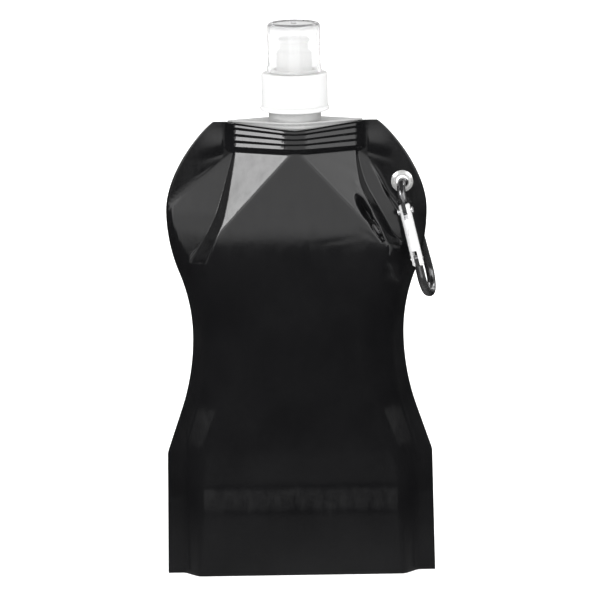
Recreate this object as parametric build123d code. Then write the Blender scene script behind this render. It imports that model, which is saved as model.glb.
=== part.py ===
"""Folding water bottle: a standing pouch of welded film with a screw cap, a push-pull valve and a carabiner.

All lengths are in millimetres. X runs to the right, Y to the back and Z up. The bottle stands on Z = 0 and
its front face looks along -Y. The pouch folds in half backwards about the line FOLD_Z.
"""

import os
from math import atan, atan2, cos, degrees, hypot, radians, sin, tan

from build123d import *

# Reach of a cutting block past the bottle on every side
BEYOND = 100.0

# Film pouch
FILM = 0.3
POUCH_TOP = 217.0
BAND_BOTTOM = 205.0
FOLD_Z = 100.0

# Outline of the sealed edge, as (half width, height), from the bottom corner to the end of the top edge
BOTTOM_CORNER = (63.2, 0.0)
HIP = (62.5, 58.8)
WAIST = (49.9, 115.0)
CHEST = (55.6, 144.8)
SHOULDER = (61.3, 174.5)
EAR = (54.5, 197.2)
TOP_CORNER = (38.5, POUCH_TOP)
HIP_ARC_RADIUS = 131.6
CHEST_ARC_RADIUS = 80.5
SHOULDER_LEAN = (-2.0, 1.0)

# Weld base of the spout fitment, seen from above: a blunt front and back and a pointed end on each side
BASE_TIP = 31.0
BASE_FLAT = 4.5
BASE_DEPTH = 12.5
BASE_BEND = 4.0

# Stations of the pouch's belly: (height, half width, half width of its flat crown, half depth, bend radius)
BELLY_STATIONS = (
    (0.0, 55.6, 42.0, 8.0, 14.0),
    (60.0, 55.0, 41.0, 11.4, 14.0),
    (82.0, 48.0, 35.0, 12.8, 13.0),
    (FOLD_Z, 45.0, 32.0, 13.9, 13.0),
    (115.0, 44.2, 31.5, 14.8, 13.0),
    (145.0, 49.5, 36.0, 16.5, 13.0),
    (161.0, 52.5, 38.0, 17.4, 12.0),
    (176.0, 51.5, 26.0, 15.9, 11.0),
    (189.0, 42.0, 15.0, 14.5, 8.0),
)

# Bottom gusset
GUSSET_TOP = 36.4
GUSSET_FOOT = 7.7

# Spout fitment: weld ribs, a neck and a two-start thread
BASE_TOP = 217.7
RIB_DEPTH = 0.6
RIB_HEIGHT = 1.4
RIB_PITCH = 3.2
RIB_COUNT = 4
NECK_RADIUS = 12.3
NECK_BORE = 10.6
NECK_TOP = 236.8
THREAD_LEAD = 8.0
THREAD_STARTS = 2
THREAD_ROOT_WIDTH = 1.5
THREAD_CREST_WIDTH = 0.8
THREAD_EMBED = 0.2
NECK_THREAD_CREST = 13.8
NECK_THREAD_START = 226.0
NECK_THREAD_TURNS = 0.9
THREAD_OFFSET = THREAD_LEAD / (2 * THREAD_STARTS)

# Screw cap
CAP_BOTTOM = 222.0
CAP_TOP = 240.0
CAP_RADIUS = 15.6
CAP_RIM_RADIUS = 16.4
CAP_RIM_HEIGHT = 2.4
CAP_EDGE_ROUND = 0.9
CAP_RIM_SLOPE = 0.6
CAP_RIM_ROUND = 1.4
CAP_WALL_INSIDE = 14.2
CAP_CEILING = 238.0
CAP_THREAD_CREST = 12.7
CHIMNEY_TOP = 249.5
CHIMNEY_RADIUS = 6.0
CHIMNEY_BORE = 4.6
BEAD_RADIUS = 6.35
BEAD_HEIGHT = 1.2
PLUG_RADIUS = 1.9
PLUG_TOP = 255.4
SPOKE_COUNT = 3
SPOKE_WIDTH = 1.4
SPOKE_BOTTOM = 238.0
SPOKE_TOP = 240.0
SNAP_RING_RADIUS = 10.9
SNAP_RING_WIDTH = 1.0
SNAP_RING_HEIGHT = 1.6

# Sealing liner under the cap's ceiling
LINER_OUTSIDE = 13.9
LINER_INSIDE = 9.4

# Push-pull valve
VALVE_SKIRT_RADIUS = 8.4
VALVE_BOTTOM = 241.2
VALVE_SHOULDER_LOW = 249.6
VALVE_SHOULDER_HIGH = 251.2
VALVE_TOP = 256.6
NOZZLE_RADIUS = 6.6
NOZZLE_LIP = 7.4
NOZZLE_LIP_BOTTOM = 254.8
NOZZLE_LIP_SLOPE = 0.8
NOZZLE_HOLE = 1.96
NOZZLE_COLLAR_WALL = 1.2
NOZZLE_COLLAR_HEIGHT = 2.0
VALVE_BORE = 6.42
VALVE_LIP_BORE = 6.06
VALVE_LIP_HEIGHT = 1.2
VALVE_STEP = 250.4
VALVE_CROWN_BORE = 5.2
VALVE_CEILING = 255.0

# Clear dust cover
COVER_RADIUS = 12.4
COVER_BOTTOM = 240.2
COVER_TOP = 263.5
COVER_WALL = 1.0
COVER_EDGE_ROUND = 1.8
COVER_DISH_RADIUS = 10.0
COVER_DISH_DEPTH = 0.4
COVER_NUB_RADIUS = 1.3
COVER_BEAD_RADIUS = 12.9
COVER_BEAD_HEIGHT = 3.0

# Eyelet in the right ear
EYELET_X = 50.0
EYELET_Z = 187.5
EYELET_BORE = 2.9
EYELET_TUBE = 3.5
EYELET_FLANGE = 5.2
EYELET_FACE = 0.9
EYELET_FACE_OUTSIDE = 4.0
EYELET_RIM = 0.25
EYELET_MOUTH_BEVEL = 0.3
ROLL_RADIUS = 4.5
ROLL_HEIGHT = 0.7
ROLL_BEVEL = 0.35
WASHER_THICKNESS = 0.4
HOLE_CLEARANCE = 0.02

# Carabiner, drawn in its own plane: x across the loop towards the spine, y up and z along the plane's normal
LOOP_TILT = 13.5
LOOP_TURN = 11.0
LOOP_DROP = 0.5
WIRE_RADIUS = 2.0
TOP_HALF_WIDTH = 8.2
TOP_BEND = 8.0
SPINE_FOOT = (12.4, -57.5)
SPINE_BEND = 10.0
GATE_FOOT = (-11.2, -51.5)
GATE_BEND = 8.5
PIVOT_DROP = 12.4
LATCH_DROP = 35.5
GATE_RADIUS = 2.7
GATE_BORE = 1.5
GATE_BORE_END = 11.6
GATE_OVERHANG = 3.3
GATE_CHAMFER = 0.5
PIVOT_GAP = 1.0
LATCH_GAP = 0.4
TONGUE_THICKNESS = 2.0
SLOT_WIDTH = 2.2
SLOT_DEPTH = 3.9
PIN_RADIUS = 0.8
PIN_HOLE = 0.83
PIN_HALF_LENGTH = 3.1
PIN_HEAD_RADIUS = 1.3
PIN_HEAD_HEIGHT = 0.5
LATCH_HALF_LENGTH = 2.9
LATCH_NOTCH = 1.0
TONGUE_HALF_WIDTH = 1.7
PLUNGER_RADIUS = 1.45
PLUNGER_START = 1.72
PLUNGER_LENGTH = 3.0
SPRING_COIL_RADIUS = 1.05
SPRING_WIRE_RADIUS = 0.22
SPRING_TURNS = 6


def rounded_trapezium(half_width, flat, depth, bend, inset):
    """Half outline from tip to tip through a flat crown with two round bends, all moved in by the inset."""
    lean = atan2(depth, half_width - flat)
    tip = half_width - inset / sin(lean)
    crown = flat - inset * tan(lean / 2)
    level = depth - inset
    return FilletPolyline((-tip, 0), (-crown, -level), (crown, -level), (tip, 0), radius=bend - inset)


def belly_section(height, half_width, flat, depth, bend, inset):
    """Cross-section of the front half of the belly at one height."""
    with BuildSketch(Plane.XY.offset(height)) as section:
        with BuildLine():
            crown = rounded_trapezium(half_width, flat, depth, bend, inset)
            Line(crown @ 1, crown @ 0)
        make_face()
    return section.sketch.faces()[0]


def belly(inset):
    """Solid front half of the pouch's inside, inset from its outer face."""
    sections = [belly_section(*station, inset) for station in BELLY_STATIONS]
    for height in (BAND_BOTTOM, POUCH_TOP):
        sections.append(belly_section(height, BASE_TIP, BASE_FLAT, BASE_DEPTH, BASE_BEND, inset - FILM))
    return loft(sections, ruled=True)


def outline_plate():
    """Flat film with the pouch's full outline, from Y = 0 to the front."""
    with BuildPart() as plate:
        with BuildSketch(Plane.XZ):
            with BuildLine():
                Line((0, 0), BOTTOM_CORNER)
                Line(BOTTOM_CORNER, HIP)
                RadiusArc(HIP, WAIST, HIP_ARC_RADIUS)
                RadiusArc(WAIST, CHEST, CHEST_ARC_RADIUS)
                RadiusArc(CHEST, SHOULDER, -CHEST_ARC_RADIUS)
                Spline(SHOULDER, EAR, TOP_CORNER, tangents=[(0, 1), SHOULDER_LEAN])
                Line(TOP_CORNER, (0, POUCH_TOP))
                mirror(about=Plane.YZ)
            make_face()
        extrude(amount=FILM)
    return plate.part


def eyelet_hole():
    """Cutter for the hole that the eyelet's tube passes through."""
    hole = Cylinder(EYELET_TUBE + HOLE_CLEARANCE, 10 * FILM, rotation=(90, 0, 0))
    return Pos(EYELET_X, 0, EYELET_Z) * hole


def front_film():
    """The whole front panel: flat sealed edges and a swollen belly, open to the back."""
    return outline_plate() + belly(0) - belly(FILM) - eyelet_hole()


def half_space(low, high):
    """Block that keeps what lies between two heights."""
    return Pos(0, 0, (low + high) / 2) * Box(2 * BEYOND, 2 * BEYOND, high - low)


def wedge(top, foot):
    """Ridge along X with its crest at the given height and its feet on Z = 0."""
    with BuildPart() as ridge:
        with BuildSketch(Plane.YZ):
            Polygon((-foot, 0), (foot, 0), (0, top), align=None)
        extrude(amount=BEYOND, both=True)
    return ridge.part


def whole_belly(inset):
    """Both halves of the pouch's inside, up to the gusset's crest."""
    front = belly(inset) & half_space(0, GUSSET_TOP + 1)
    return front + mirror(front, about=Plane.XZ)


def bottom_gusset():
    """Bottom panel: a raised fold inside, welded all over to the skirt below it."""
    lean = atan(GUSSET_FOOT / GUSSET_TOP)
    outside = whole_belly(FILM) & wedge(GUSSET_TOP, GUSSET_FOOT)
    hollow = wedge(GUSSET_TOP - FILM / sin(lean), GUSSET_FOOT - FILM / cos(lean))
    return outside - (whole_belly(2 * FILM) & hollow)


def boat(inset, low, high):
    """Upright prism of the weld base, its sides moved in by the inset."""
    with BuildPart() as prism:
        with BuildSketch(Plane.XY.offset(low)):
            with BuildLine():
                rounded_trapezium(BASE_TIP, BASE_FLAT, BASE_DEPTH, BASE_BEND, inset)
                mirror(about=Plane.XZ)
            make_face()
        extrude(amount=high - low)
    return prism.part


def thread_ridges(root, crest, start_height, turns):
    """Helical ridges, one for each start, on a wall of the root radius and reaching the crest radius."""
    inward = 1 if crest < root else -1
    path = Helix(pitch=THREAD_LEAD, height=turns * THREAD_LEAD, radius=root)
    begin = path @ 0
    with BuildSketch(Plane(origin=begin, x_dir=(1, 0, 0), z_dir=path % 0)) as profile:
        embed = inward * THREAD_EMBED
        with BuildLine():
            Polyline(
                (embed, -THREAD_ROOT_WIDTH / 2),
                (crest - root, -THREAD_CREST_WIDTH / 2),
                (crest - root, THREAD_CREST_WIDTH / 2),
                (embed, THREAD_ROOT_WIDTH / 2),
                close=True,
            )
        make_face()
    ridge = sweep(profile.sketch, path=path, is_frenet=True)
    return [
        Pos(0, 0, start_height) * Rot(0, 0, index * 360 / THREAD_STARTS) * ridge
        for index in range(THREAD_STARTS)
    ]


def ring(outside, inside, low, high):
    """Tube about the bottle's axis."""
    height = high - low
    return Pos(0, 0, (low + high) / 2) * (Cylinder(outside, height) - Cylinder(inside, height))


def spout_fitment():
    """Weld base with ribs and a lip over the films' edges, then a neck with a two-start thread, bored through."""
    body = boat(RIB_DEPTH, BAND_BOTTOM, BASE_TOP)
    body += boat(-FILM, POUCH_TOP, BASE_TOP)
    for index in range(RIB_COUNT):
        low = BAND_BOTTOM + index * RIB_PITCH
        body += boat(0, low, low + RIB_HEIGHT)
    body += ring(NECK_RADIUS, NECK_BORE, BASE_TOP, NECK_TOP)
    for ridge in thread_ridges(NECK_RADIUS, NECK_THREAD_CREST, NECK_THREAD_START, NECK_THREAD_TURNS):
        body += ridge
    bore_height = NECK_TOP - BAND_BOTTOM
    return body - Pos(0, 0, BAND_BOTTOM + bore_height / 2) * Cylinder(NECK_BORE, bore_height)


def screw_cap():
    """Threaded cap with a flared rim, a chimney for the valve and a plug on spokes in the chimney's middle."""
    body = ring(CAP_RADIUS, CAP_WALL_INSIDE, CAP_BOTTOM + CAP_RIM_ROUND, CAP_TOP)
    body = fillet(body.edges().group_by(Axis.Z)[-1].sort_by(SortBy.RADIUS)[-1], CAP_EDGE_ROUND)
    rim = ring(CAP_RIM_RADIUS, CAP_WALL_INSIDE, CAP_BOTTOM, CAP_BOTTOM + CAP_RIM_HEIGHT)
    rim = chamfer(rim.edges().group_by(Axis.Z)[-1].sort_by(SortBy.RADIUS)[-1], CAP_RIM_SLOPE)
    rim = fillet(rim.edges().group_by(Axis.Z)[0].sort_by(SortBy.RADIUS)[-1], CAP_RIM_ROUND)
    body += rim
    body += ring(CAP_WALL_INSIDE + THREAD_EMBED, CHIMNEY_BORE, CAP_CEILING, CAP_TOP)
    body += ring(CHIMNEY_RADIUS, CHIMNEY_BORE, CAP_CEILING, CHIMNEY_TOP)
    body += ring(BEAD_RADIUS, CHIMNEY_BORE, CHIMNEY_TOP - BEAD_HEIGHT, CHIMNEY_TOP)
    snap_top = CAP_TOP + SNAP_RING_HEIGHT
    body += ring(SNAP_RING_RADIUS, SNAP_RING_RADIUS - SNAP_RING_WIDTH, CAP_CEILING, snap_top)
    plug_height = PLUG_TOP - SPOKE_BOTTOM
    body += Pos(0, 0, SPOKE_BOTTOM + plug_height / 2) * Cylinder(PLUG_RADIUS, plug_height)
    spoke_height = SPOKE_TOP - SPOKE_BOTTOM
    for index in range(SPOKE_COUNT):
        spoke_length = CHIMNEY_BORE + THREAD_EMBED
        spoke = Box(spoke_length, SPOKE_WIDTH, spoke_height, align=(Align.MIN, Align.CENTER, Align.MIN))
        body += Pos(0, 0, SPOKE_BOTTOM) * Rot(0, 0, index * 360 / SPOKE_COUNT) * spoke
    start = NECK_THREAD_START - THREAD_OFFSET
    for ridge in thread_ridges(CAP_WALL_INSIDE, CAP_THREAD_CREST, start, NECK_THREAD_TURNS):
        body += ridge
    return body


def cap_liner():
    """Soft washer between the neck's lip and the cap's ceiling."""
    return ring(LINER_OUTSIDE, LINER_INSIDE, NECK_TOP, CAP_CEILING)


def turned(profile):
    """Solid of revolution about the bottle's axis from (radius, height) corners."""
    with BuildPart() as solid:
        with BuildSketch(Plane.XZ):
            Polygon(*profile, align=None)
        revolve(axis=Axis.Z)
    return solid.part


def push_pull_valve():
    """Valve that slides on the chimney and closes its hole on the cap's plug."""
    collar_radius = NOZZLE_HOLE + NOZZLE_COLLAR_WALL
    collar_bottom = VALVE_CEILING - NOZZLE_COLLAR_HEIGHT
    lip_step = VALVE_BOTTOM + VALVE_LIP_HEIGHT
    outside = (
        (VALVE_LIP_BORE, VALVE_BOTTOM),
        (VALVE_SKIRT_RADIUS, VALVE_BOTTOM),
        (VALVE_SKIRT_RADIUS, VALVE_SHOULDER_LOW),
        (NOZZLE_RADIUS, VALVE_SHOULDER_HIGH),
        (NOZZLE_RADIUS, NOZZLE_LIP_BOTTOM - NOZZLE_LIP_SLOPE),
        (NOZZLE_LIP, NOZZLE_LIP_BOTTOM),
        (NOZZLE_LIP, VALVE_TOP - NOZZLE_LIP_SLOPE),
        (NOZZLE_LIP - NOZZLE_LIP_SLOPE, VALVE_TOP),
    )
    inside = (
        (NOZZLE_HOLE, VALVE_TOP),
        (NOZZLE_HOLE, collar_bottom),
        (collar_radius, collar_bottom),
        (collar_radius, VALVE_CEILING),
        (VALVE_CROWN_BORE, VALVE_CEILING),
        (VALVE_CROWN_BORE, VALVE_STEP),
        (VALVE_BORE, VALVE_STEP),
        (VALVE_BORE, lip_step),
        (VALVE_LIP_BORE, lip_step),
    )
    return turned(outside + inside)


def dust_cover():
    """Thin cup over the valve with a thicker rim and a dished top, with a small nub in the dish's middle."""
    inside = COVER_RADIUS - COVER_WALL
    bead_top = COVER_BOTTOM + COVER_BEAD_HEIGHT
    shell = ring(COVER_RADIUS, inside, COVER_BOTTOM, COVER_TOP - COVER_WALL)
    shell += Pos(0, 0, COVER_TOP - COVER_WALL / 2) * Cylinder(COVER_RADIUS, COVER_WALL)
    top_edge = shell.edges().group_by(Axis.Z)[-1].sort_by(SortBy.RADIUS)[-1]
    shell = fillet(top_edge, COVER_EDGE_ROUND)
    shell -= ring(COVER_DISH_RADIUS, COVER_NUB_RADIUS, COVER_TOP - COVER_DISH_DEPTH, COVER_TOP)
    shell += ring(COVER_BEAD_RADIUS, inside, COVER_BOTTOM, bead_top)
    return shell


def eyelet_axis(solid):
    """Turn a solid built about Z so that it stands in the eyelet's hole, its top towards the front."""
    return Pos(EYELET_X, 0, EYELET_Z) * Rot(90, 0, 0) * solid


def eyelet_barrel():
    """Eyelet with a rounded front flange and a back end rolled over the washer."""
    roll_face = -FILM - WASHER_THICKNESS
    roll_end = roll_face - ROLL_HEIGHT
    flange_top = FILM + EYELET_FACE
    rolled_end = (
        (EYELET_BORE, roll_end),
        (ROLL_RADIUS - ROLL_BEVEL, roll_end),
        (ROLL_RADIUS, roll_end + ROLL_BEVEL),
        (ROLL_RADIUS, roll_face),
        (EYELET_TUBE, roll_face),
    )
    flange = (
        (EYELET_TUBE, FILM),
        (EYELET_FLANGE, FILM),
        (EYELET_FLANGE, FILM + EYELET_RIM),
        (EYELET_FACE_OUTSIDE, flange_top),
        (EYELET_BORE + EYELET_MOUTH_BEVEL, flange_top),
        (EYELET_BORE, flange_top - EYELET_MOUTH_BEVEL),
    )
    return eyelet_axis(turned(rolled_end + flange))


def eyelet_washer():
    """Flat washer behind the film."""
    washer = ring(EYELET_FLANGE, EYELET_TUBE + HOLE_CLEARANCE, -FILM - WASHER_THICKNESS, -FILM)
    return eyelet_axis(washer)


def carabiner_plane():
    """The loop's own plane, hung in the eyelet."""
    tilt = radians(LOOP_TILT)
    turn = radians(LOOP_TURN)
    across = (sin(turn) * cos(tilt), cos(turn), sin(turn) * sin(tilt))
    normal = (cos(turn) * cos(tilt), -sin(turn), cos(turn) * sin(tilt))
    return Plane(origin=(EYELET_X, 0, EYELET_Z - LOOP_DROP), x_dir=across, z_dir=normal)


def gate_x(drop):
    """Position across the loop of the gate's line, at a depth below the loop's top."""
    share = drop / -GATE_FOOT[1]
    return -TOP_HALF_WIDTH + share * (GATE_FOOT[0] + TOP_HALF_WIDTH)


PIVOT = (gate_x(PIVOT_DROP), -PIVOT_DROP)
LATCH = (gate_x(LATCH_DROP), -LATCH_DROP)
GATE_ANGLE = degrees(atan2(LATCH[1] - PIVOT[1], LATCH[0] - PIVOT[0]))
GATE_LENGTH = hypot(LATCH[0] - PIVOT[0], LATCH[1] - PIVOT[1])


def gate_frame(along):
    """Location on the gate's line at a distance from the pivot, with x along the line towards the latch."""
    return Pos(*PIVOT) * Rot(0, 0, GATE_ANGLE) * Pos(along, 0, 0)


def cross_pin(half_length, radius):
    """Pin along the loop plane's normal."""
    return Cylinder(radius, 2 * half_length)


def tongue(root_end, tip_end):
    """Flat end of the frame between two distances along the gate's line, rounded about its tip end."""
    length = abs(tip_end - root_end)
    slab = gate_frame((root_end + tip_end) / 2) * Box(length, 2 * TONGUE_HALF_WIDTH, TONGUE_THICKNESS)
    return slab + gate_frame(tip_end) * Cylinder(TONGUE_HALF_WIDTH, TONGUE_THICKNESS)


def carabiner_frame():
    """Bent wire from the pivot tongue over the top, down the spine and round the bottom to the latch tongue."""
    first = -GATE_OVERHANG - PIVOT_GAP
    last = GATE_LENGTH + GATE_OVERHANG + LATCH_GAP
    start = gate_frame(first).position
    finish = gate_frame(last).position
    path = FilletPolyline(
        (start.X, start.Y),
        (-TOP_HALF_WIDTH, 0),
        (TOP_HALF_WIDTH, 0),
        SPINE_FOOT,
        GATE_FOOT,
        (finish.X, finish.Y),
        radius=(TOP_BEND, TOP_BEND, SPINE_BEND, GATE_BEND),
    )
    profile = Plane(origin=path @ 0, z_dir=path % 0) * Circle(WIRE_RADIUS)
    frame = sweep(profile, path=path)
    frame += tongue(first - WIRE_RADIUS, 0)
    frame += tongue(last + WIRE_RADIUS, GATE_LENGTH)
    frame -= gate_frame(0) * Cylinder(PIN_HOLE, 4 * WIRE_RADIUS)
    notch = Cylinder(LATCH_NOTCH, 4 * WIRE_RADIUS)
    notch += Pos(0, WIRE_RADIUS, 0) * Box(2 * LATCH_NOTCH, 2 * WIRE_RADIUS, 4 * WIRE_RADIUS)
    return frame - gate_frame(GATE_LENGTH) * notch


def bar_along_gate(radius, begin, end):
    """Round bar on the gate's line between two distances from the pivot."""
    return gate_frame((begin + end) / 2) * Rot(0, 90, 0) * Cylinder(radius, end - begin)


def carabiner_gate():
    """Round bar with a fork at each end over the frame's two tongues, and a blind bore for the spring."""
    last = GATE_LENGTH + GATE_OVERHANG
    bar = bar_along_gate(GATE_RADIUS, -GATE_OVERHANG, last)
    bar = chamfer(bar.edges().filter_by(GeomType.CIRCLE), GATE_CHAMFER)
    bar -= bar_along_gate(GATE_BORE, -GATE_OVERHANG, GATE_BORE_END)
    slot = Box(2 * SLOT_DEPTH, 3 * GATE_RADIUS, SLOT_WIDTH)
    for along in (0, GATE_LENGTH):
        bar -= gate_frame(along) * slot
        bar -= gate_frame(along) * Cylinder(PIN_RADIUS, 4 * GATE_RADIUS)
    return bar


def gate_plunger():
    """Short pin that the spring presses against the pivot tongue."""
    return bar_along_gate(PLUNGER_RADIUS, PLUNGER_START, PLUNGER_START + PLUNGER_LENGTH)


def gate_spring():
    """Coil spring in the gate's bore, between the plunger and the bore's end."""
    begin = PLUNGER_START + PLUNGER_LENGTH + SPRING_WIRE_RADIUS
    height = GATE_BORE_END - SPRING_WIRE_RADIUS - begin
    path = Helix(pitch=height / SPRING_TURNS, height=height, radius=SPRING_COIL_RADIUS)
    profile = Plane(origin=path @ 0, z_dir=path % 0) * Circle(SPRING_WIRE_RADIUS)
    coil = sweep(profile, path=path, is_frenet=True)
    return gate_frame(begin) * Rot(0, 90, 0) * coil


def gate_pivot_pin():
    """Riveted pin on which the gate turns."""
    pin = cross_pin(PIN_HALF_LENGTH, PIN_RADIUS)
    head = Cylinder(PIN_HEAD_RADIUS, PIN_HEAD_HEIGHT, align=(Align.CENTER, Align.CENTER, Align.MIN))
    low = Pos(0, 0, -PIN_HALF_LENGTH) * mirror(head, about=Plane.XY)
    return gate_frame(0) * (pin + Pos(0, 0, PIN_HALF_LENGTH) * head + low)


def latch_pin():
    """Pin across the gate's lower fork, resting in the frame's notch."""
    return gate_frame(GATE_LENGTH) * cross_pin(LATCH_HALF_LENGTH, PIN_RADIUS)


def on_carabiner(solid):
    """Move a solid from the loop's drawing plane to its place in the bottle."""
    return carabiner_plane().location * solid


def write(name, shape):
    """Save one piece as a STEP file of its own."""
    export_step(shape.solid(), f"parts/{name}.step")


os.makedirs("parts", exist_ok=True)

front = front_film()
back = mirror(front, about=Plane.XZ)
for side, film in (("front", front), ("back", back)):
    write(f"{side}_panel_upper", film & half_space(FOLD_Z, POUCH_TOP))
    write(f"{side}_panel_lower", film & half_space(0, FOLD_Z))

write("bottom_gusset", bottom_gusset())
write("spout_fitment", spout_fitment())
write("screw_cap", screw_cap())
write("cap_liner", cap_liner())
write("push_pull_valve", push_pull_valve())
write("dust_cover", dust_cover())
write("eyelet_barrel", eyelet_barrel())
write("eyelet_washer", eyelet_washer())
write("carabiner_frame", on_carabiner(carabiner_frame()))
write("carabiner_gate", on_carabiner(carabiner_gate()))
write("gate_pivot_pin", on_carabiner(gate_pivot_pin()))
write("gate_plunger", on_carabiner(gate_plunger()))
write("gate_spring", on_carabiner(gate_spring()))
write("latch_pin", on_carabiner(latch_pin()))
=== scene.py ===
"""Looks of the folding water bottle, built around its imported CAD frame.

Film shapes are worked out in millimetres and handed to Blender in metres. X runs to the right, Y to the back
and Z up; the front of the bottle faces -Y. A film's depth is its distance from the middle plane at Y = 0.
"""

import math

import bpy
import numpy as np
from mathutils import Matrix, Vector


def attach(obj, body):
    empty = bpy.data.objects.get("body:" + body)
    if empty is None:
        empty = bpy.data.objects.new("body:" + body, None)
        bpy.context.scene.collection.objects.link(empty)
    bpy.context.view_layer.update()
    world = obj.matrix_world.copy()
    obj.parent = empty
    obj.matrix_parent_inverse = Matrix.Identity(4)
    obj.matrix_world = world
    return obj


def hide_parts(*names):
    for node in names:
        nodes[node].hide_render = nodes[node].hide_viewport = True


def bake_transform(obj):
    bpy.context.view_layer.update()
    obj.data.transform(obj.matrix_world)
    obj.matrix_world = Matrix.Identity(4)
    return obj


MM = 0.001

# Film pouch
FILM = 0.3
POUCH_TOP = 217.0

# Outline of the sealed edge: (half width, height)
BOTTOM_CORNER = (63.7, 0.0)
HIP = (62.9, 58.8)
FLARE = (55.9, 79.3)
WAIST = (49.9, 115.0)
CHEST = (55.6, 144.8)
SHOULDER = (61.5, 174.5)
TOP_CORNER = (38.5, POUCH_TOP)
HIP_ARC_RADIUS = 110.0
CHEST_ARC_RADIUS = 80.5
SHOULDER_PULL = 19.0
CORNER_PULL = 3.0
CORNER_SPREAD = 1.7

# Inner edge of the side seals: heights, and the belly's half width there
SEAL_HEIGHTS = (0, 60, 82, 100, 115, 145, 152, 161, 170, 177, 183, 189, 196, 203, 217)
LEFT_BELLY = (55.6, 55, 48, 45, 44.2, 52.6, 56.4, 59.3, 60.5, 60.3, 55.2, 47.0, 37.5, 32.1, 32.1)
RIGHT_BELLY = (55.6, 55, 48, 45, 44.2, 50.0, 52.5, 53.8, 51.5, 47.2, 42.4, 39.7, 35.6, 32.1, 32.1)
SEAL_BEND = 0.35

# Rounding of every table's corners: how far each value looks up and down, in steps of the spacing
TABLE_SPACING = 2.0
TABLE_REACH = 1.5
TABLE_STEPS = 7

# Belly: depth of its crown from the foot to the ridge, where the facets begin
BELLY_DEPTH = 17.3
RIDGE_Z = 160.6
RIDGE_BEND = 1.5
CROWN_HEIGHTS = (0.0, 5.0, 30.5, 44.0, 60.0, 82.0, 100.0, RIDGE_Z, POUCH_TOP)
CROWN_DEPTHS = (8.8, 9.4, 10.1, 9.05, 10.7, 12.3, 13.5, BELLY_DEPTH, 21.0)

# Flanks: how steeply the film rises from the side seals, and how softly it turns into the front
FLANK_HEIGHTS = (0, 60, 100, 115, 145, 152, 161, 170, 177, 184, 190, 196, 203, 217)
FLANK_SLOPES = (1.35, 1.2, 1.1, 1.16, 1.3, 1.5, 1.8, 2.2, 2.4, 2.4, 2.2, 1.6, 0.8, 0.5)
FLANK_BEND_HEIGHTS = (0.0, 60.0, 130.0, 150.0, 163.0, 175.0, 200.0)
FLANK_BENDS = (2.2, 3.6, 5.5, 4.5, 1.6, 0.9, 0.7)

# Shoulders: low planes outside the facets
SHOULDER_SLOPE = 0.22
SHOULDER_LEAN = 0.73
SHOULDER_HEIGHTS = (125, 140, 148, 155, 160, 165, 174, 217)
SHOULDER_REACH = (54.3, 57.3, 57.3, 56.6, 55.75, 54.5, 49.1, 6.1)

# Walls: steep film from each facet's outer edge down to the shoulder; the edge's distance from the middle
WALL_HEIGHTS = (125, 140, 150, 158, 161, 173, 182, 188, 196, 203, 217)
LEFT_WALL_EDGE = (53, 46.5, 43, 40.3, 38.9, 34.4, 32.3, 31.2, 29.8, 28.6, 28.6)
RIGHT_WALL_EDGE = (54, 48, 45.2, 43.2, 42.2, 37.2, 32.8, 30.2, 28.8, 28.4, 28.4)
WALL_EDGE_BEND = 0.7
WALL_CHANGE_HEIGHTS = (150, 165)
WALL_SLOPES = (1.3, 2.6)
WALL_FOOT_BENDS = (1.5, 0.12)

# Facets between the weld band and the belly
FACET_TOP = 199.5
FACET_END = 202.0
FACET_DEPTH = 12.0
FACET_INNER = 8.2
FACET_FALL = 0.4394
FACET_RISE = 0.515
FACET_BEND = 0.8

# Weld band around the spout's base
BAND_BOTTOM = 205.0
BAND_LEAD = 0.2
BAND_DEPTH = 13.45
BAND_TIP = 33.0
BAND_SLOPE = 0.4717
BAND_BEND = 0.42
BAND_DIP = 3.0

# Ribs pressed into the band; their relief is less across the blunt front of the spout's base
RIB_PITCH = 3.2
RIB_EMBOSS = 0.92
RIB_FALL = 0.8
RIB_END = 28.8
RIB_FADE = 0.8
RIB_LEAD_FADE = 0.6
RIB_FRONT = 4.6
RIB_FRONT_FADE = 1.2
RIB_FRONT_SHARE = 0.35

# Dent in the right facet: its ends as (x, height), then its form at steps along it
DENT_TOP = (28.4, 182.4)
DENT_BOTTOM = (40.2, 162.4)
DENT_STEPS = (0.0, 3.0, 9.0, 12.5, 17.5, 23.0)
DENT_HALF_WIDTHS = (1.3, 2.1, 2.2, 1.5, 1.9, 1.2)
DENT_DEPTHS = (0.8, 2.6, 4.8, 4.2, 3.4, 2.2)
DENT_FULLNESS = 0.8

# Lens standing in the dent's lower half
LENS_MIDDLE = 17.6
LENS_HALF_LENGTH = 4.8
LENS_HALF_WIDTH = 1.35
LENS_HEIGHT = 2.3
LENS_SINK = 2.6
LENS_EDGE = 0.45
LENS_BEND = 0.3

# Lip raised along the dent's right side
LIP_HEIGHT = 0.15
LIP_GAP = 1.1
LIP_WIDTH = 0.9
LIP_LEAD = 8.0
LIP_LEAD_FADE = 6.0
LIP_TAIL = 2.0
LIP_TAIL_FADE = 8.0

# Pucker in each ear: a ridge that widens outwards, with a hollow below it
EAR_FOLD_Z = 206.5
EAR_FOLD_GAP = 0.5
EAR_FOLD_DROP = 0.25
EAR_FOLD_LENGTH = 15.0
EAR_FOLD_HEIGHT = 0.36
EAR_FOLD_WIDTH = 3.4
EAR_FOLD_SPREAD = 1.2
EAR_FOLD_GROWTH = 0.12
EAR_FOLD_LEAD_FADE = 1.5
EAR_FOLD_TAIL_FADE = 10.0
EAR_HOLLOW_DROP = 4.4
EAR_HOLLOW_SHARE = 0.5
EAR_HOLLOW_WIDTH = 1.1

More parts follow.
